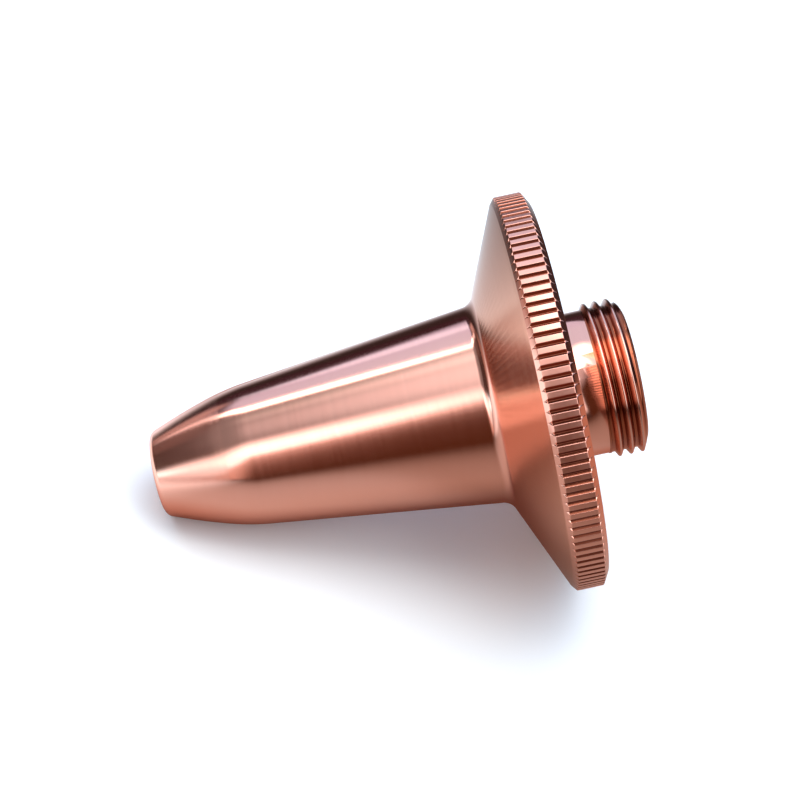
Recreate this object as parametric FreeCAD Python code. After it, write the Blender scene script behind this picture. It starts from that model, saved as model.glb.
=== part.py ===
import FreeCAD, Part
import math
import os

from FreeCAD import Placement, Rotation, Vector

# A laser cutting nozzle, turned from one solid bar of copper. Millimetres.
# The Z axis is the axis of the beam, and +Z points to the tip.
# The origin is the centre of the flange's back face, which seats on the cutting head.

# Lengths along the axis, measured from the seat face
TIP_HEIGHT = 29.2            # seat face to the flat end of the nose
NOSE_LENGTH = 5.7            # steep, slightly crowned nose at the tip
FLANGE_ROOT_HEIGHT = 5.4     # where the barrel would meet the flange cone
RIM_THICKNESS = 2.55         # seat face to the front edge of the rim
FRONT_CHAMFER_LENGTH = 0.32
BACK_CHAMFER_LENGTH = 0.43
THREAD_REACH = 4.8           # seat face to the threaded end
NECK_LENGTH = 2.0            # plain relief between the seat face and the thread
THREAD_CHAMFER_LENGTH = 0.4

# Outer radii
TIP_RADIUS = 2.95
NOSE_RADIUS = 4.86           # where the nose gives way to the long barrel
NOSE_BULGE = 0.12            # how far the middle of the nose stands out from a straight cone
BARREL_RADIUS = 7.05         # big end of the barrel, at the flange
RIM_RADIUS = 14.0
FRONT_CHAMFER_DEPTH = 0.4
BACK_CHAMFER_DEPTH = 0.75
THREAD_RADIUS = 5.5          # over the crests of the thread
THREAD_DEPTH = 0.4           # the neck is turned down to the roots of the thread
NECK_CHAMFER = 0.2           # in the corner between the neck and the seat face
THREAD_FLANK_ANGLE = 30.0    # slope of the shoulder between neck and thread, as the thread's flank
THREAD_CHAMFER_DEPTH = 0.9

# The passage for beam and gas, widest at the threaded end
INLET_RADIUS = 4.0
INLET_LENGTH = 6.8
INLET_CHAMFER = 0.2
ORIFICE_RADIUS = 1.0
ORIFICE_LENGTH = 3.0

# Rounded corners of the outline
TIP_EDGE_RADIUS = 0.6
NOSE_CROWN_RADIUS = 40.0
NOSE_BLEND_RADIUS = 5.0
FLANGE_FILLET_RADIUS = 1.0

# The knurl: straight V grooves all round the rim
GROOVE_COUNT = 124
GROOVE_DEPTH = 0.22
GROOVE_ANGLE = 76.0          # between the two walls of a groove
CUTTER_CLEARANCE = 0.5       # how far the groove cutter stands out past the rim


def on_outline(radius, height):
    """A point of the turned outline, in the half plane through +X."""
    return Vector(radius, 0.0, height)


def rounded_corner(before, corner, after, radius):
    """An arc that rounds a corner of the outline and touches both of its lines."""
    to_before = (before - corner).normalize()
    to_after = (after - corner).normalize()
    half_angle = to_before.getAngle(to_after) / 2
    reach = radius / math.tan(half_angle)
    bisector = (to_before + to_after).normalize()
    nearest = corner + bisector * (radius / math.sin(half_angle) - radius)
    return Part.Arc(corner + to_before * reach, nearest, corner + to_after * reach)


def outline_face(corners):
    """A face inside the closed outline, given as corners with the radius that rounds each."""
    points = [point for point, radius in corners]
    count = len(points)
    pieces = []
    for index, (corner, radius) in enumerate(corners):
        before = points[index - 1]
        after = points[(index + 1) % count]
        pieces.append(rounded_corner(before, corner, after, radius) if radius else None)
    edges = []
    for index, corner in enumerate(points):
        following = (index + 1) % count
        start = pieces[index].EndPoint if pieces[index] else corner
        end = pieces[following].StartPoint if pieces[following] else points[following]
        if pieces[index]:
            edges.append(pieces[index].toShape())
        edges.append(Part.LineSegment(start, end).toShape())
    return Part.Face(Part.Wire(edges))


def barrel_corners():
    """The tip, the crowned nose and the long tapered barrel, from the orifice outwards."""
    middle_radius = (TIP_RADIUS + NOSE_RADIUS) / 2 + NOSE_BULGE
    return [
        (on_outline(ORIFICE_RADIUS, TIP_HEIGHT), 0.0),
        (on_outline(TIP_RADIUS, TIP_HEIGHT), TIP_EDGE_RADIUS),
        (on_outline(middle_radius, TIP_HEIGHT - NOSE_LENGTH / 2), NOSE_CROWN_RADIUS),
        (on_outline(NOSE_RADIUS, TIP_HEIGHT - NOSE_LENGTH), NOSE_BLEND_RADIUS),
        (on_outline(BARREL_RADIUS, FLANGE_ROOT_HEIGHT), FLANGE_FILLET_RADIUS),
    ]


def flange_corners():
    """The conical front of the flange, the chamfered rim and the flat seat face."""
    return [
        (on_outline(RIM_RADIUS - FRONT_CHAMFER_DEPTH, RIM_THICKNESS), 0.0),
        (on_outline(RIM_RADIUS, RIM_THICKNESS - FRONT_CHAMFER_LENGTH), 0.0),
        (on_outline(RIM_RADIUS, BACK_CHAMFER_LENGTH), 0.0),
        (on_outline(RIM_RADIUS - BACK_CHAMFER_DEPTH, 0.0), 0.0),
    ]


def thread_corners():
    """The relief neck, the thread's outer wall and the chamfered end."""
    neck_radius = THREAD_RADIUS - THREAD_DEPTH
    shoulder_length = THREAD_DEPTH * math.tan(math.radians(THREAD_FLANK_ANGLE))
    thread_start = -NECK_LENGTH - shoulder_length
    return [
        (on_outline(neck_radius + NECK_CHAMFER, 0.0), 0.0),
        (on_outline(neck_radius, -NECK_CHAMFER), 0.0),
        (on_outline(neck_radius, -NECK_LENGTH), 0.0),
        (on_outline(THREAD_RADIUS, thread_start), 0.0),
        (on_outline(THREAD_RADIUS, THREAD_CHAMFER_LENGTH - THREAD_REACH), 0.0),
        (on_outline(THREAD_RADIUS - THREAD_CHAMFER_DEPTH, -THREAD_REACH), 0.0),
    ]


def passage_corners():
    """The round inlet, the long converging cone and the short straight orifice."""
    return [
        (on_outline(INLET_RADIUS + INLET_CHAMFER, -THREAD_REACH), 0.0),
        (on_outline(INLET_RADIUS, INLET_CHAMFER - THREAD_REACH), 0.0),
        (on_outline(INLET_RADIUS, INLET_LENGTH - THREAD_REACH), 0.0),
        (on_outline(ORIFICE_RADIUS, TIP_HEIGHT - ORIFICE_LENGTH), 0.0),
    ]


def turned_blank():
    """The nozzle as it leaves the lathe, before the rim is knurled."""
    corners = barrel_corners() + flange_corners() + thread_corners() + passage_corners()
    return outline_face(corners).revolve(Vector(0, 0, 0), Vector(0, 0, 1), 360)


def groove_cutter():
    """A long V bar that cuts the first groove, at +X, and runs out through both chamfers."""
    bottom = RIM_RADIUS - GROOVE_DEPTH
    top = RIM_RADIUS + CUTTER_CLEARANCE
    half_width = (top - bottom) * math.tan(math.radians(GROOVE_ANGLE / 2))
    section = Part.makePolygon([
        Vector(bottom, 0, 0),
        Vector(top, half_width, 0),
        Vector(top, -half_width, 0),
        Vector(bottom, 0, 0),
    ])
    bar = Part.Face(section).extrude(Vector(0, 0, RIM_THICKNESS + 2 * CUTTER_CLEARANCE))
    bar.translate(Vector(0, 0, -CUTTER_CLEARANCE))
    return bar


def knurled(blank):
    """The blank with its grooves cut, evenly spaced round the rim."""
    first = groove_cutter()
    cutters = []
    for index in range(GROOVE_COUNT):
        turn = Rotation(Vector(0, 0, 1), 360.0 * index / GROOVE_COUNT)
        cutter = first.copy()
        cutter.Placement = Placement(Vector(0, 0, 0), turn)
        cutters.append(cutter)
    return blank.cut(cutters)


def nozzle():
    """The whole nozzle, one solid."""
    return knurled(turned_blank()).Solids[0]


os.makedirs("parts", exist_ok=True)
nozzle().exportStep("parts/nozzle.step")
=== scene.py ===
import math

import bmesh
import bpy
from mathutils import Matrix, Vector


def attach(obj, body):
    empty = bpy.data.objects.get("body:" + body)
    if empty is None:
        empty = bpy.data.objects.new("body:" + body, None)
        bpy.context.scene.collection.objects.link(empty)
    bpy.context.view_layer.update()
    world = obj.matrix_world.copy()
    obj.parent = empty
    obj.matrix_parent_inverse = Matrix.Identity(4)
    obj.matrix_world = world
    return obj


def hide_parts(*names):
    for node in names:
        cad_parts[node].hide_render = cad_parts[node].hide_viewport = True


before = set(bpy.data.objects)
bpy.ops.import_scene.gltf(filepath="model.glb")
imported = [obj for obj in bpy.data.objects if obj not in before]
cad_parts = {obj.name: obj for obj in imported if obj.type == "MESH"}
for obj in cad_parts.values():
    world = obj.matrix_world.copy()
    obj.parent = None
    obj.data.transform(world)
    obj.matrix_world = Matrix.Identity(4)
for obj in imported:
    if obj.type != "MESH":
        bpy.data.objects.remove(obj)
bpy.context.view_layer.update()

# A laser cutting nozzle of turned copper, lying on a white table on its rim and its tip.
# Sizes are in millimetres, in the part's own frame, and become metres where meshes are made.
MM = 0.001

# Outline, from the seat face at height 0 to the tip
TIP_HEIGHT = 29.2
TIP_RADIUS = 2.95
NOSE_HEIGHT = 23.5
NOSE_RADIUS = 4.86
NOSE_BULGE = 0.12
ROOT_HEIGHT = 5.4
ROOT_RADIUS = 7.05
RIM_HEIGHT = 2.55
RIM_RADIUS = 14.0
FRONT_CHAMFER = (0.4, 0.32)            # across the axis and along it
BACK_CHAMFER = (0.75, 0.43)
NECK_RADIUS = 5.1
NECK_END = -2.0
NECK_CHAMFER = 0.2
THREAD_END = -4.8
END_CHAMFER = (0.9, 0.4)

# Passage for beam and gas
INLET_RADIUS = 4.0
INLET_CHAMFER = 0.2
INLET_END = 2.0
ORIFICE_RADIUS = 1.0
ORIFICE_START = 26.2

# Rounded corners of the outline
TIP_ROUND = 0.6
NOSE_CROWN = 40.0
NOSE_ROUND = 17.0
ROOT_ROUND = 1.0
RIM_ROUND = 0.07
EDGE_ROUND = 0.05
PASSAGE_ROUND = 1.0

# Knurl: straight V grooves round the rim, the first one centred on +X
GROOVE_COUNT = 124
GROOVE_DEPTH = 0.22
GROOVE_HALF_ANGLE = math.radians(38.0)
LAND_EDGE_ROUND = 0.04
LEAST_HALF_WIDTH = 0.05                # of a groove's columns, where the rim is below its bottom
INNER_COLUMN = 0.3                     # a groove's innermost column, as a share of its half width
RIM_REACH = 0.5                        # how far the rim's columns run in past its chamfers

# Thread, right-hand; one crest passes +X at CREST_START
THREAD_RADIUS = 5.5
THREAD_PITCH = 0.8
THREAD_DEPTH = 0.4
FLANK_SLOPE = math.tan(math.radians(30.0))
CREST_FLAT = 0.14
CREST_ROUND = 0.12
VALLEY_ROUND = 0.08
CREST_START = -2.33

# Columns of faces round the axis
GROOVE_COLUMNS = 10                    # for each groove and its land
CUT_COLUMNS = (9, 0, 1, 2)             # those of them on the groove's walls
RIM_COLUMNS = GROOVE_COLUMNS * GROOVE_COUNT
OUTER_COLUMNS = RIM_COLUMNS // 2
INNER_COLUMNS = OUTER_COLUMNS // 2

# Faces along a rounded corner
CORNER_STEPS = 3
BARREL_STEPS = 8

MERGE_DISTANCE = 0.00001               # points closer than this are one

# Finishes, one material each; those of the knurl's grooves and of the thread's valleys hold painted
# shade
BARREL, NOSE, CONE, KNURL, GROOVE, TURNED, THREAD, BORE = range(8)


# Mesh of the nozzle

def polar(radius, angle, height):
    return Vector((radius * math.cos(angle), radius * math.sin(angle), height))


def around(columns):
    """The angles of evenly spaced columns."""
    return [2 * math.pi * column / columns for column in range(columns)]


def rounded(corners, steps):
    """Points of an open outline whose inner corners, each (radius, height, round), are rounded."""
    points = [Vector(corners[0][:2])]
    for before, corner, after in zip(corners, corners[1:], corners[2:]):
        here = Vector(corner[:2])
        to_before = (Vector(before[:2]) - here).normalized()
        to_after = (Vector(after[:2]) - here).normalized()
        half_angle = to_before.angle(to_after) / 2
        reach = corner[2] / math.tan(half_angle)
        centre = here + (to_before + to_after).normalized() * (corner[2] / math.sin(half_angle))
        start = here + to_before * reach - centre
        turn = start.angle_signed(here + to_after * reach - centre)
        for step in range(steps + 1):
            points.append(centre + Matrix.Rotation(-turn * step / steps, 2) @ start)
    points.append(Vector(corners[-1][:2]))
    return points


class Turning:
    """A closed mesh that is built ring by ring, each ring joined to the one before it."""

    def __init__(self):
        self.mesh = bmesh.new()
        self.first = None
        self.last = None

    def start(self, points):
        self.last = [self.mesh.verts.new(point) for point in points]
        self.first = self.first or self.last

    def ring(self, points, finish):
        old = self.last
        self.start(points)
        if old:
            self.join(old, self.last, finish)

    def round_ring(self, radius, height, columns, finish):
        self.ring([polar(radius, angle, height) for angle in around(columns)], finish)

    def join(self, old, new, finish):
        """Faces between two rings, whose counts are equal or one a multiple of the other."""
        if len(old) == len(new):
            for index in range(len(old)):
                # the grooves' walls take a finish whose dark tone is painted shade
                cut = finish == KNURL and index % GROOVE_COLUMNS in CUT_COLUMNS
                corners = (old[index - 1], old[index], new[index], new[index - 1])
                self.face(corners, GROOVE if cut else finish)
        elif len(old) < len(new):
            self.fan(old, new, finish, False)
        else:
            self.fan(new, old, finish, True)

    def fan(self, coarse, fine, finish, flipped):
        share = len(fine) // len(coarse)
        for index, corner in enumerate(coarse):
            following = coarse[(index + 1) % len(coarse)]
            span = [fine[(index * share + step) % len(fine)] for step in range(share + 1)]
            middle = share // 2
            faces = [(corner, a, b) for a, b in zip(span[:middle], span[1:middle + 1])]
            faces.append((corner, span[middle], following))
            faces += [(following, a, b) for a, b in zip(span[middle:], span[middle + 1:])]
            for face in faces:
                self.face(face[::-1] if flipped else face, finish)

    def face(self, corners, finish):
        made = self.mesh.faces.new(corners)
        made.material_index = finish
        made.smooth = True


def groove_offsets(radius):
    """Distances from a groove's centre line to the columns of one half of its period."""
    depth = max(radius - (RIM_RADIUS - GROOVE_DEPTH), 0.0)
    half_width = max(depth * math.tan(GROOVE_HALF_ANGLE), LEAST_HALF_WIDTH)
    edge = LAND_EDGE_ROUND / 2
    return (half_width * INNER_COLUMN, half_width - edge, half_width, half_width + edge)


def rim_point(radius, height, groove, offset):
    """A point of the knurled rim, at a distance from the centre line of a groove."""
    angle = 2 * math.pi * groove / GROOVE_COUNT
    wall = RIM_RADIUS - GROOVE_DEPTH + abs(offset) / math.tan(GROOVE_HALF_ANGLE)
    out = min(math.sqrt(radius ** 2 - offset ** 2), wall)
    return Matrix.Rotation(angle, 3, "Z") @ Vector((out, offset, height))


def rim_ring(radius, height):
    """All columns of one ring of the rim: ten for each groove and its land."""
    offsets = groove_offsets(radius)
    points = []
    for groove, angle in enumerate(around(GROOVE_COUNT)):
        points.append(rim_point(radius, height, groove, 0.0))
        points += [rim_point(radius, height, groove, offset) for offset in offsets]
        points.append(polar(radius, angle + math.pi / GROOVE_COUNT, height))
        points += [rim_point(radius, height, groove + 1, -offset) for offset in reversed(offsets)]
    return points


def cone_point(radius):
    """The flange's conical front at a radius, in line with its corners at the barrel and the rim."""
    outer = RIM_RADIUS - FRONT_CHAMFER[0]
    rise = (ROOT_HEIGHT - RIM_HEIGHT) / (outer - ROOT_RADIUS)
    return radius, RIM_HEIGHT + (outer - radius) * rise, 0.0


def rim_outline():
    """Radius and height of each ring of the rim, from its front corner to the seat face."""
    front_across, front_along = FRONT_CHAMFER
    back_across, back_along = BACK_CHAMFER
    points = rounded([
        cone_point(RIM_RADIUS - front_across - RIM_REACH),
        (RIM_RADIUS - front_across, RIM_HEIGHT, RIM_ROUND),
        (RIM_RADIUS, RIM_HEIGHT - front_along, RIM_ROUND),
        (RIM_RADIUS, back_along, RIM_ROUND),
        (RIM_RADIUS - back_across, 0.0, RIM_ROUND),
        (RIM_RADIUS - back_across - RIM_REACH, 0.0, 0.0),
    ], CORNER_STEPS)
    bottom = RIM_RADIUS - GROOVE_DEPTH
    outline = [points[0]]
    for point in points[1:]:
        before = outline[-1]
        if (before.x - bottom) * (point.x - bottom) < 0:
            outline.append(before.lerp(point, (bottom - before.x) / (point.x - before.x)))
        outline.append(point)
    return outline


def thread_profile():
    """One turn of thread from crest to crest: (distance along the axis, radius), edges eased."""
    flank = THREAD_DEPTH * FLANK_SLOPE
    half_crest = CREST_FLAT / 2
    bottom = THREAD_RADIUS - THREAD_DEPTH
    points = rounded([
        (THREAD_RADIUS, 0.0, 0.0),
        (THREAD_RADIUS, half_crest, CREST_ROUND),
        (bottom, half_crest + flank, VALLEY_ROUND),
        (bottom, THREAD_PITCH - half_crest - flank, VALLEY_ROUND),
        (THREAD_RADIUS, THREAD_PITCH - half_crest, CREST_ROUND),
        (THREAD_RADIUS, THREAD_PITCH, 0.0),
    ], CORNER_STEPS)
    return [(point.y, point.x) for point in points][:-1]


def thread_limit(height):
    """The largest radius that the relief at the neck and the chamfer at the end leave."""
    across, along = END_CHAMFER
    at_neck = NECK_RADIUS + (NECK_END - height) / FLANK_SLOPE
    at_end = THREAD_RADIUS - across + (height - THREAD_END) * across / along
    return min(at_neck, at_end)


def thread_column(angle):
    """Points down the thread at one angle, from the neck's end to the threaded end."""
    above = math.ceil((NECK_END - CREST_START) / THREAD_PITCH)
    below = math.ceil((CREST_START - THREAD_END) / THREAD_PITCH) + 1
    rise = THREAD_PITCH * angle / (2 * math.pi)
    points = []
    for turn in range(-above, below):
        for drop, radius in thread_profile():
            height = CREST_START + rise - turn * THREAD_PITCH - drop
            height = min(max(height, THREAD_END), NECK_END)
            points.append(polar(min(radius, thread_limit(height)), angle, height))
    return points


def add_thread(turning):
    """The threaded wall. Its last column meets the first one a turn further on."""
    angles = around(INNER_COLUMNS) + [2 * math.pi]
    columns = [[turning.mesh.verts.new(point) for point in thread_column(angle)] for angle in angles]
    for left, right in zip(columns, columns[1:]):
        for corners in zip(left, left[1:], right[1:], right):
            turning.face(corners, THREAD)
    turning.start([polar(THREAD_RADIUS - END_CHAMFER[0], angle, THREAD_END)
                   for angle in around(INNER_COLUMNS)])


def nozzle_mesh():
    """The whole nozzle: from the orifice over the outside and back through the passage."""
    turning = Turning()
    turning.round_ring(ORIFICE_RADIUS, TIP_HEIGHT - EDGE_ROUND, INNER_COLUMNS, BORE)
    turning.round_ring(ORIFICE_RADIUS + EDGE_ROUND, TIP_HEIGHT, INNER_COLUMNS, TURNED)
    middle_radius = (TIP_RADIUS + NOSE_RADIUS) / 2 + NOSE_BULGE
    front = rounded([
        (ORIFICE_RADIUS, TIP_HEIGHT, 0.0),
        (TIP_RADIUS, TIP_HEIGHT, TIP_ROUND),
        (middle_radius, (TIP_HEIGHT + NOSE_HEIGHT) / 2, NOSE_CROWN),
        (NOSE_RADIUS, NOSE_HEIGHT, NOSE_ROUND),
        (ROOT_RADIUS, ROOT_HEIGHT, ROOT_ROUND),
        cone_point(RIM_RADIUS - FRONT_CHAMFER[0] - RIM_REACH),
    ], BARREL_STEPS)
    for number, (radius, height) in enumerate(front[1:-1]):
        finish = TURNED if number == 0 else NOSE if height > NOSE_HEIGHT else BARREL
        turning.round_ring(radius, height, OUTER_COLUMNS, finish)
    reached = False
    for radius, height in rim_outline():
        knurled = radius >= RIM_RADIUS - GROOVE_DEPTH
        finish = KNURL if knurled and reached else CONE if height > RIM_HEIGHT else TURNED
        turning.ring(rim_ring(radius, height), finish)
        reached = knurled
    turning.round_ring(NECK_RADIUS + NECK_CHAMFER, 0.0, OUTER_COLUMNS, CONE)
    turning.round_ring(NECK_RADIUS, -NECK_CHAMFER, INNER_COLUMNS, TURNED)
    turning.round_ring(NECK_RADIUS, NECK_END, INNER_COLUMNS, TURNED)
    add_thread(turning)
    inner = rounded([
        (THREAD_RADIUS - END_CHAMFER[0], THREAD_END, 0.0),
        (INLET_RADIUS + INLET_CHAMFER, THREAD_END, EDGE_ROUND),
        (INLET_RADIUS, THREAD_END + INLET_CHAMFER, EDGE_ROUND),
        (INLET_RADIUS, INLET_END, PASSAGE_ROUND),
        (ORIFICE_RADIUS, ORIFICE_START, PASSAGE_ROUND),
        (ORIFICE_RADIUS, TIP_HEIGHT - EDGE_ROUND, 0.0),
    ], CORNER_STEPS)
    for number, (radius, height) in enumerate(inner[1:-1]):
        finish = TURNED if number <= CORNER_STEPS else BORE
        turning.round_ring(radius, height, INNER_COLUMNS, finish)
    turning.join(turning.last, turning.first, BORE)
    return turning.mesh


def make_nozzle(materials):
    """The nozzle's object, which stands for the CAD node of the same name."""
    built = nozzle_mesh()
    bmesh.ops.scale(built, vec=(MM, MM, MM), verts=built.verts)
    bmesh.ops.remove_doubles(built, verts=built.verts, dist=MERGE_DISTANCE * MM)
    bmesh.ops.dissolve_degenerate(built, dist=MERGE_DISTANCE * MM, edges=built.edges)
    bmesh.ops.recalc_face_normals(built, faces=built.faces)
    mesh = bpy.data.meshes.new("nozzle_body")
    built.to_mesh(mesh)
    built.free()
    for material in materials:
        mesh.materials.append(material)
    body = bpy.data.objects.new("nozzle_body", mesh)
    bpy.context.scene.collection.objects.link(body)
    shading = body.modifiers.new("even_shading", "WEIGHTED_NORMAL")
    shading.mode = "FACE_AREA"
    shading.weight = 50
    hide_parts("nozzle")
    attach(body, "root")


# Node graphs

class Graph:
    """Short calls for building a node tree."""

    def __init__(self, tree):
        self.tree = tree
        tree.nodes.clear()

    def node(self, kind, **settings):
        made = self.tree.nodes.new(kind)
        for name, value in settings.items():
            setattr(made, name, value)
        return made

    def put(self, socket, value):
        if isinstance(value, bpy.types.NodeSocket):
            self.tree.links.new(value, socket)
        else:
            socket.default_value = value

    def math(self, operation, *values):
        made = self.node("ShaderNodeMath", operation=operation)
        for socket, value in zip(made.inputs, values):
            self.put(socket, value)
        return made.outputs[0]

    def vector(self, operation, first, second, output):
        made = self.node("ShaderNodeVectorMath", operation=operation)
        self.put(made.inputs[0], first)
        self.put(made.inputs[1], second)
        return made.outputs[output]

    def reach(self, place, axis):
        """How far a place lies along an axis."""
        return self.vector("DOT_PRODUCT", place, axis, "Value")

    def bearing(self, sideways, forward):
        """The angle from straight ahead to the side, in degrees."""
        return self.math("MULTIPLY", self.math("ARCTAN2", sideways, forward), math.degrees(1))

    def fade(self, value, start, end):
        """A smooth step from 0 at start to 1 at end."""
        made = self.node("ShaderNodeMapRange", interpolation_type="SMOOTHSTEP", clamp=True)
        for name, item in (("Value", value), ("From Min", start), ("From Max", end)):
            self.put(made.inputs[name], item)
        return made.outputs["Result"]

    def blend(self, share, first, second, blend_type="MIX"):
        made = self.node("ShaderNodeMixRGB", blend_type=blend_type)
        for socket, value in zip(made.inputs, (share, first, second)):
            self.put(socket, value)
        return made.outputs[0]

    def noise(self, vector, scale, detail, roughness):
        made = self.node("ShaderNodeTexNoise")
        self.put(made.inputs["Vector"], vector)
        self.put(made.inputs["Scale"], scale)
        self.put(made.inputs["Detail"], detail)
        self.put(made.inputs["Roughness"], roughness)
        return made.outputs["Fac"]

    def bump(self, height, distance, normal=None):
        made = self.node("ShaderNodeBump")
        self.put(made.inputs["Height"], height)
        made.inputs["Distance"].default_value = distance
        if normal:
            self.put(made.inputs["Normal"], normal)
        return made.outputs["Normal"]


# Materials

COPPER = (0.93, 0.46, 0.35, 1.0)
COPPER_DEEP = (0.9, 0.41, 0.3, 1.0)
# painted shade: a dark tone for the knurl's groove walls, in place of the shade inside the grooves
GROOVE_SHADE_TONE = (0.3, 0.09, 0.05, 1.0)
COPPER_CONE = (0.9, 0.44, 0.3, 1.0)
COPPER_THREAD = (0.76, 0.42, 0.33, 1.0)
# painted shade: the thread's copper darkens to this tone towards its valleys
ROOT_SHADE_TONE = (0.36, 0.1, 0.05, 1.0)
ROOT_SHADE_RADII = (5.18 * MM, 5.48 * MM)     # radii between which the root's tone gives way

# Tool marks and clouds: scale, detail and roughness of their noise, and what they do
MARK_SCALES = (12.0, 12.0, 1000.0)     # along x, along y and in the way of the feed
FINE_MARKS = (9.0, 3.0, 0.6)
WIDE_MARKS = (1.6, 2.0, 0.5)
CLOUDS = (180.0, 3.0, 0.5)
CLOUD_TINT = 0.5                       # how far they deepen the colour
MARK_TINT = 0.4
WIDE_RIPPLE = 4.0                      # height of the wide marks, as against the fine ones
LEAST_ROUGHNESS = 0.75                 # shares of a finish's own roughness
ROUGHNESS_SWING = 0.5
GRAIN_TURN = 0.25                      # a quarter turn, so that the grain runs round the axis


def multiplied(first, second):
    """A tone as far from the first one as the second is from bare copper."""
    return tuple(a * b / c for a, b, c in zip(first, second, COPPER))


def copper(name, roughness, feed, ripple, stretch, tone=COPPER, root=None):
    """Turned copper. Its tool marks run round the axis, spaced by the feed: height or radius. The
    ripple is their height in millimetres, and the stretch draws reflections out across them. A root
    tone, where given, is painted shade that darkens the copper towards the thread's valleys."""
    material = bpy.data.materials.new(name)
    material.use_nodes = True
    graph = Graph(material.node_tree)
    place = graph.node("ShaderNodeTexCoord").outputs["Object"]
    split = graph.node("ShaderNodeSeparateXYZ")
    graph.put(split.inputs[0], place)
    x, y, height = split.outputs
    across = graph.node("ShaderNodeCombineXYZ")
    graph.put(across.inputs[0], x)
    graph.put(across.inputs[1], y)
    radius = graph.vector("DISTANCE", across.outputs[0], (0.0, 0.0, 0.0), "Value")
    step = radius if feed == "radius" else height
    marks = graph.node("ShaderNodeCombineXYZ")
    for socket, value, scale in zip(marks.inputs, (x, y, step), MARK_SCALES):
        graph.put(socket, graph.math("MULTIPLY", value, scale))
    fine = graph.noise(marks.outputs[0], *FINE_MARKS)
    wide = graph.noise(marks.outputs[0], *WIDE_MARKS)
    cloud = graph.noise(place, *CLOUDS)
    shader = graph.node("ShaderNodeBsdfPrincipled")
    tint = graph.math("MULTIPLY_ADD", cloud, CLOUD_TINT, graph.math("MULTIPLY", wide, MARK_TINT))
    colour = graph.blend(tint, tone, multiplied(tone, COPPER_DEEP))
    # painted shade: darker towards the thread's valleys
    if root:
        colour = graph.blend(graph.fade(radius, *ROOT_SHADE_RADII), root, colour)
    graph.put(shader.inputs["Base Color"], colour)
    shader.inputs["Metallic"].default_value = 1.0
    shader.inputs["Anisotropic"].default_value = stretch
    shader.inputs["Anisotropic Rotation"].default_value = GRAIN_TURN
    tangent = graph.node("ShaderNodeTangent", direction_type="RADIAL", axis="Z")
    graph.put(shader.inputs["Tangent"], tangent.outputs[0])
    swing = roughness * ROUGHNESS_SWING
    spread = graph.math("MULTIPLY_ADD", fine, swing, roughness * LEAST_ROUGHNESS)
    graph.put(shader.inputs["Roughness"], spread)
    marked = graph.bump(fine, ripple * MM)
    graph.put(shader.inputs["Normal"], graph.bump(wide, ripple * MM * WIDE_RIPPLE, marked))
    out = graph.node("ShaderNodeOutputMaterial")
    graph.put(out.inputs["Surface"], shader.outputs[0])
    return material


def nozzle_materials():
    """In the order of the finishes."""
    return [
        copper("polished_barrel", 0.14, "height", 0.0005, 0.75),
        copper("satin_nose", 0.19, "height", 0.0006, 0.7),
        copper("satin_cone", 0.16, "radius", 0.0007, 0.9, COPPER_CONE),
        copper("knurled_rim", 0.32, "height", 0.0006, 0.0),
        # the grooves' dark tone is painted shade
        copper("knurl_groove_painted_shade", 0.34, "height", 0.0009, 0.0, GROOVE_SHADE_TONE),
        copper("turned_copper", 0.13, "height", 0.0005, 0.5),
        # its valleys are darkened by painted shade
        copper("thread_copper", 0.14, "height", 0.0003, 0.0, COPPER_THREAD, ROOT_SHADE_TONE),
        copper("passage_copper", 0.3, "height", 0.001, 0.4),
    ]


# Studio

# Where the camera stands, seen from the part
CAMERA_TURN = math.radians(-0.31)      # round the part's axis, from -Y
CAMERA_DISTANCE = 132.0
CAMERA_HEIGHT = 9.29
AIM_SIDE = 1.566                       # where the middle of the view meets the part's middle plane
AIM_HEIGHT = 11.53
AXIS_DIP = math.radians(12.08)         # how far the axis dips to the left
LENS = 84.69
SENSOR = 36.0
CLIP = (10.0, 20000.0)                 # nearest and furthest that the camera sees

# How the part lies: on the edge of its rim and the edge of its tip
LEAN = math.atan2(RIM_RADIUS - TIP_RADIUS, TIP_HEIGHT - (RIM_HEIGHT - FRONT_CHAMFER[1]))
FLOOR_TURN = math.radians(-49.9)       # azimuth of the side that is turned up, from +X

TABLE_RADIUS = 2000.0
TABLE_SIDES = 128

# The table's tones: the one it is looked at in, and those that the copper mirrors, which are painted
# light and shade: a painted shadow under the part, a painted pool of light behind it and past its
# tip, and painted dimming far off
FLOOR_VIEW = (0.95, 1.0, 1.0, 1.0)
FLOOR_LEFT = (0.54, 0.5, 0.46, 1.0)    # in front of the tip
# painted shade: the mirrored table is darker in front of the thread than in front of the tip
FLOOR_RIGHT = (0.39, 0.32, 0.27, 1.0)  # in front of the thread
# painted shadow: the mirrored table under the part is dark and warm
FLOOR_SHADOW_UNDER = (0.4, 0.2, 0.13, 1.0)    # under the part
# painted light: a brighter pool on the mirrored table behind the part and past its tip
FLOOR_LIGHT_POOL = (1.1, 1.22, 1.22, 1.0)  # behind it and past its tip
# painted shade: far off, the mirrored table darkens on three sides
FAR_LEFT = (0.32, 0.19, 0.145, 1.0)    # and a long way off, on three sides
FAR_FRONT = (0.09, 0.05, 0.033, 1.0)
FAR_BEHIND = (0.03, 0.02, 0.018, 1.0)

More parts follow.
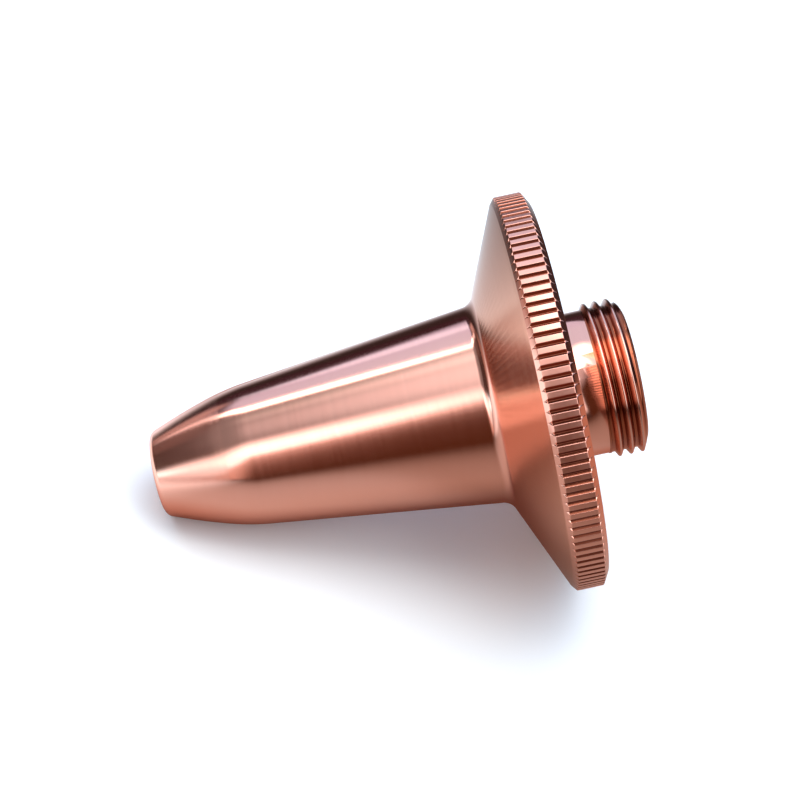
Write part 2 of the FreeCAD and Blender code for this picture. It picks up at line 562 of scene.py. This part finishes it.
# Where those tones give way to each other, in millimetres. Depth runs towards the camera from
# the line below the axis, and the other places are to the right of the seat.
FLOOR_SIDES = (2.0, -5.0)              # from right to left
FLOOR_UNDERNEATH = (10.0, 1.0)         # from front to under, in depth
FLOOR_SPLIT = (-16.0, -21.0)           # from under to bright, in depth
FLOOR_PAST_TIP = (-22.0, -36.0)        # from front to bright
FLOOR_BRIGHT_END = (12.0, 2.0)         # where the bright part starts, from the right
FAR_SPLIT = (-10.0, 10.0)              # from behind to front, in depth
FAR_LEFT_START = (-4.0, -14.0)         # the left part's bearings from the tip, in degrees
FAR_LEFT_END = (-125.0, -105.0)
# painted dimming: the mirrored table's light fades with distance
FADE_FRONT = (6.0, 75.0)               # depth at which the table starts to darken, and how slowly
FADE_BEHIND = (20.0, 15.0)
FADE_TURN = 0.25                       # how much sooner it darkens behind the tip

# The light tent and the room in front of it. Azimuths and heights are in degrees: azimuth 0 is
# towards the camera, and a negative one is to the left.
BLACK = (0.0, 0.0, 0.0, 1.0)
WHITE = (1.0, 1.0, 1.0, 1.0)
BEHIND = (112.0, 124.0)                # azimuths from the tent's sides to its rear
BAND_SIDE = (0.07, 0.045, 0.04, 1.0)   # the dark band round the foot
BAND_BEHIND = (0.05, 0.025, 0.035, 1.0)
BAND_TOP = 30.0
BAND_SOFT = 2.0
BAND_LIFT = (-0.45, 46.9)              # its lift at the rear: slope, and value at azimuth 0
BAND_STEP = (149.0, 154.0)             # azimuths at which it steps up
BAND_STEP_LIFT = 12.0
TENT_LOW = (0.29, 0.31, 0.34, 1.0)     # the sides above the band
TENT_HIGH = (1.35, 1.5, 1.7, 1.0)
TENT_RISE = (45.0, 58.0)
REAR_LOW = (0.8, 1.0, 1.45, 1.0)       # the rear above the band
REAR_HIGH = (0.82, 1.08, 1.5, 1.0)
REAR_RISE = (18.0, 36.0)
TENT_TOP = (4.0, 4.0, 4.1, 1.0)
TOP_RISE = (60.0, 72.0)
OPENING_LEFT = (-20.2, -17.2)          # the opening's edges
OPENING_RIGHT = (42.0, 34.0)
OPENING_TOP = (79.0, 73.0)
OPENING_LEAN = 0.35                    # the left edge leans over above this height
OPENING_LEAN_HEIGHT = 35.0
ROOM = (0.088, 0.031, 0.013, 1.0)
ROOM_HIGH = (0.7, 0.68, 0.76, 1.0)
ROOM_RISE = (42.0, 66.0)
ROOM_GLOW = (0.95, 0.68, 0.62, 1.0)    # beside the opening's left edge
GLOW_SPAN = (-19.0, -7.0)
GLOW_HEIGHT = 26.0                     # the height at which the glow's azimuths hold
GLOW_LEAN = 0.3

# Lamps in the tent: azimuth, half width, lowest and highest edge, softness, all in degrees; colour
LAMPS = [
    (-114.8, 4.1, 26.0, 46.0, 1.3, (4.0, 4.0, 4.2, 1.0)),
    (-114.0, 3.0, 9.0, 26.0, 2.5, (1.3, 1.3, 1.4, 1.0)),
    (-123.0, 7.0, 0.0, 15.0, 4.0, (0.6, 0.5, 0.5, 1.0)),
    (-100.0, 12.0, 12.0, 27.0, 8.0, (0.13, 0.1, 0.1, 1.0)),
    (-108.0, 16.0, 46.0, 60.0, 8.0, (0.6, 0.75, 0.8, 1.0)),
    (-23.0, 15.0, 20.0, 49.0, 10.0, (2.8, 2.9, 3.1, 1.0)),
    (-30.0, 18.0, 1.0, 22.0, 5.0, (1.3, 1.45, 1.6, 1.0)),
    (-46.0, 7.0, 1.0, 9.0, 4.0, (1.0, 2.3, 2.8, 1.0)),
    (-139.0, 4.0, 14.0, 24.0, 2.0, (0.4, 0.6, 0.8, 1.0)),
    (70.0, 30.0, 12.0, 68.0, 6.0, (1.3, 1.35, 1.45, 1.0)),
]


def camera_axes():
    """The camera's place, and its right, up and back directions, in the part's frame."""
    turn = Matrix.Rotation(CAMERA_TURN, 3, "Z")
    place = turn @ Vector((0.0, -CAMERA_DISTANCE, CAMERA_HEIGHT))
    aim = turn @ Vector((AIM_SIDE, 0.0, AIM_HEIGHT))
    back = (place - aim).normalized()
    axis = Vector((0.0, 0.0, 1.0))
    seen = (axis - back * axis.dot(back)).normalized()
    side = back.cross(seen)
    right = side * math.sin(AXIS_DIP) - seen * math.cos(AXIS_DIP)
    up = -seen * math.sin(AXIS_DIP) - side * math.cos(AXIS_DIP)
    return place, right, up, back


def studio_axes():
    """Up from the table, towards the camera along the table, and to the camera's right."""
    turn = FLOOR_TURN + CAMERA_TURN
    normal = polar(math.cos(LEAN), turn, -math.sin(LEAN))
    back = camera_axes()[3]
    ahead = (back - normal * back.dot(normal)).normalized()
    return normal, ahead, normal.cross(ahead)


def add_camera():
    place, right, up, back = camera_axes()
    data = bpy.data.cameras.new("camera")
    data.lens = LENS
    data.sensor_width = SENSOR
    data.clip_start, data.clip_end = (limit * MM for limit in CLIP)
    camera = bpy.data.objects.new("camera", data)
    axes = Matrix((right, up, back)).transposed().to_4x4()
    camera.matrix_world = Matrix.Translation(place * MM) @ axes
    bpy.context.scene.collection.objects.link(camera)
    bpy.context.scene.camera = camera


def add_floor():
    """A wide round table top, seen from above only."""
    normal, ahead, side = studio_axes()
    contact = polar(TIP_RADIUS, FLOOR_TURN + CAMERA_TURN + math.pi, TIP_HEIGHT)
    built = bmesh.new()
    bmesh.ops.create_circle(built, cap_ends=True, segments=TABLE_SIDES, radius=TABLE_RADIUS * MM)
    mesh = bpy.data.meshes.new("table_top")
    built.to_mesh(mesh)
    built.free()
    mesh.materials.append(floor_material(normal, ahead, side))
    floor = bpy.data.objects.new("table_top", mesh)
    axes = Matrix((side * -1.0, ahead, normal)).transposed().to_4x4()
    floor.matrix_world = Matrix.Translation(contact * MM) @ axes
    bpy.context.scene.collection.objects.link(floor)


def floor_material(normal, ahead, side):
    """White as it is looked at. The copper mirrors it in painted light and shade: a painted shadow
    under the part, a painted pool of light behind it and past its tip, and painted dimming far off.
    """
    material = bpy.data.materials.new("white_table_painted_light")
    material.use_nodes = True
    graph = Graph(material.node_tree)
    ray = graph.node("ShaderNodeLightPath").outputs["Is Camera Ray"]
    spot = graph.node("ShaderNodeNewGeometry")
    place = graph.vector("MULTIPLY", spot.outputs["Position"], (1 / MM, 1 / MM, 1 / MM), "Vector")
    depth = graph.reach(place, normal.cross(Vector((0.0, 0.0, 1.0))).normalized())
    along = graph.reach(place, side)
    from_tip = graph.vector("SUBTRACT", place, (0.0, 0.0, TIP_HEIGHT), "Vector")
    bearing = graph.bearing(graph.reach(from_tip, side), graph.reach(from_tip, ahead))
    drops = []
    behind = graph.math("MULTIPLY_ADD", along, FADE_TURN, depth)
    for spread, way, (start, length) in ((depth, 1.0, FADE_FRONT), (behind, -1.0, FADE_BEHIND)):
        past = graph.math("MULTIPLY_ADD", spread, way, -start)
        drops.append(graph.math("DIVIDE", graph.math("MAXIMUM", past, 0.0), -length))
    # painted dimming of the mirrored tones with distance
    kept = graph.math("EXPONENT", graph.math("ADD", *drops))
    near = graph.blend(graph.fade(along, *FLOOR_SIDES), FLOOR_RIGHT, FLOOR_LEFT)
    # painted shadow under the part
    near = graph.blend(graph.fade(depth, *FLOOR_UNDERNEATH), near, FLOOR_SHADOW_UNDER)
    past_tip = graph.fade(along, *FLOOR_PAST_TIP)
    # painted pool of light behind the part and past its tip
    bright = graph.math("MAXIMUM", graph.fade(depth, *FLOOR_SPLIT), past_tip)
    bright = graph.math("MULTIPLY", bright, graph.fade(along, *FLOOR_BRIGHT_END))
    near = graph.blend(bright, near, FLOOR_LIGHT_POOL)
    far = graph.blend(graph.fade(depth, *FAR_SPLIT), FAR_BEHIND, FAR_FRONT)
    left_start = graph.fade(bearing, *FAR_LEFT_START)
    left = graph.math("MULTIPLY", left_start, graph.fade(bearing, *FAR_LEFT_END))
    # these painted light and shade tones are seen only by rays that are not the camera's
    painted_light = graph.blend(kept, graph.blend(left, far, FAR_LEFT), near)
    plain = graph.node("ShaderNodeBsdfDiffuse")
    graph.put(plain.inputs["Color"], graph.blend(ray, painted_light, FLOOR_VIEW))
    clear = graph.node("ShaderNodeBsdfTransparent")
    pick = graph.node("ShaderNodeMixShader")
    graph.put(pick.inputs[0], graph.math("MULTIPLY", ray, spot.outputs["Backfacing"]))
    graph.put(pick.inputs[1], plain.outputs[0])
    graph.put(pick.inputs[2], clear.outputs[0])
    out = graph.node("ShaderNodeOutputMaterial")
    graph.put(out.inputs["Surface"], pick.outputs[0])
    return material


def window(graph, azimuth, height, field):
    """1 inside a soft-edged field of azimuths and heights, and 0 outside it."""
    centre, half_width, low, high, soft = field
    off = graph.math("ABSOLUTE", graph.math("SUBTRACT", azimuth, centre))
    across = graph.fade(off, half_width + soft, half_width - soft)
    above = graph.fade(height, low - soft, low + soft)
    below = graph.fade(height, high + soft, high - soft)
    return graph.math("MULTIPLY", graph.math("MULTIPLY", across, above), below)


def tent_colour(graph, azimuth, height):
    """The dark band round the tent's foot, the brighter wall above it and the lamps."""
    turned = graph.math("ABSOLUTE", azimuth)
    behind = graph.fade(turned, *BEHIND)
    band = graph.blend(behind, BAND_SIDE, BAND_BEHIND)
    sides = graph.blend(graph.fade(height, *TENT_RISE), TENT_LOW, TENT_HIGH)
    rear = graph.blend(graph.fade(height, *REAR_RISE), REAR_LOW, REAR_HIGH)
    lift = graph.math("MULTIPLY", behind, graph.math("MULTIPLY_ADD", turned, *BAND_LIFT))
    lift = graph.math("MULTIPLY_ADD", graph.fade(turned, *BAND_STEP), BAND_STEP_LIFT, lift)
    above = graph.math("SUBTRACT", height, graph.math("ADD", lift, BAND_TOP))
    share = graph.fade(above, -BAND_SOFT, BAND_SOFT)
    colour = graph.blend(share, band, graph.blend(behind, sides, rear))
    for *field, strength in LAMPS:
        lamp = graph.blend(window(graph, azimuth, height, field), BLACK, strength)
        colour = graph.blend(1.0, colour, lamp, "ADD")
    return graph.blend(graph.fade(height, *TOP_RISE), colour, TENT_TOP)


def room_colour(graph, azimuth, height):
    """The dark room in front of the tent, lighter beside the opening's left edge and above."""
    past = graph.math("SUBTRACT", height, GLOW_HEIGHT)
    slant = graph.math("MULTIPLY_ADD", past, GLOW_LEAN, azimuth)
    colour = graph.blend(graph.fade(slant, *GLOW_SPAN), ROOM_GLOW, ROOM)
    return graph.blend(graph.fade(height, *ROOM_RISE), colour, ROOM_HIGH)


def opening(graph, azimuth, height):
    """1 inside the tent's opening in front, and 0 outside it."""
    past = graph.math("MAXIMUM", graph.math("SUBTRACT", height, OPENING_LEAN_HEIGHT), 0.0)
    slant = graph.math("MULTIPLY_ADD", past, OPENING_LEAN, azimuth)
    below = graph.fade(height, *OPENING_TOP)
    inside = graph.math("MULTIPLY", graph.fade(slant, *OPENING_LEFT), below)
    return graph.math("MULTIPLY", inside, graph.fade(azimuth, *OPENING_RIGHT))


def add_world():
    """A light tent over the table, open in front, where the camera stands."""
    normal, ahead, side = studio_axes()
    world = bpy.data.worlds.new("studio")
    bpy.context.scene.world = world
    world.use_nodes = True
    graph = Graph(world.node_tree)
    direction = graph.node("ShaderNodeTexCoord").outputs["Generated"]
    upward, forward, sideways = (graph.reach(direction, axis) for axis in (normal, ahead, side))
    height = graph.math("MULTIPLY", graph.math("ARCSINE", upward), math.degrees(1))
    azimuth = graph.bearing(sideways, forward)
    tent = tent_colour(graph, azimuth, height)
    room = room_colour(graph, azimuth, height)
    colour = graph.blend(opening(graph, azimuth, height), tent, room)
    ray = graph.node("ShaderNodeLightPath").outputs["Is Camera Ray"]
    background = graph.node("ShaderNodeBackground")
    graph.put(background.inputs["Color"], graph.blend(ray, colour, WHITE))
    out = graph.node("ShaderNodeOutputWorld")
    graph.put(out.inputs["Surface"], background.outputs[0])


# The whole scene

make_nozzle(nozzle_materials())
add_camera()
add_floor()
add_world()
bpy.context.scene.view_settings.view_transform = "Standard"
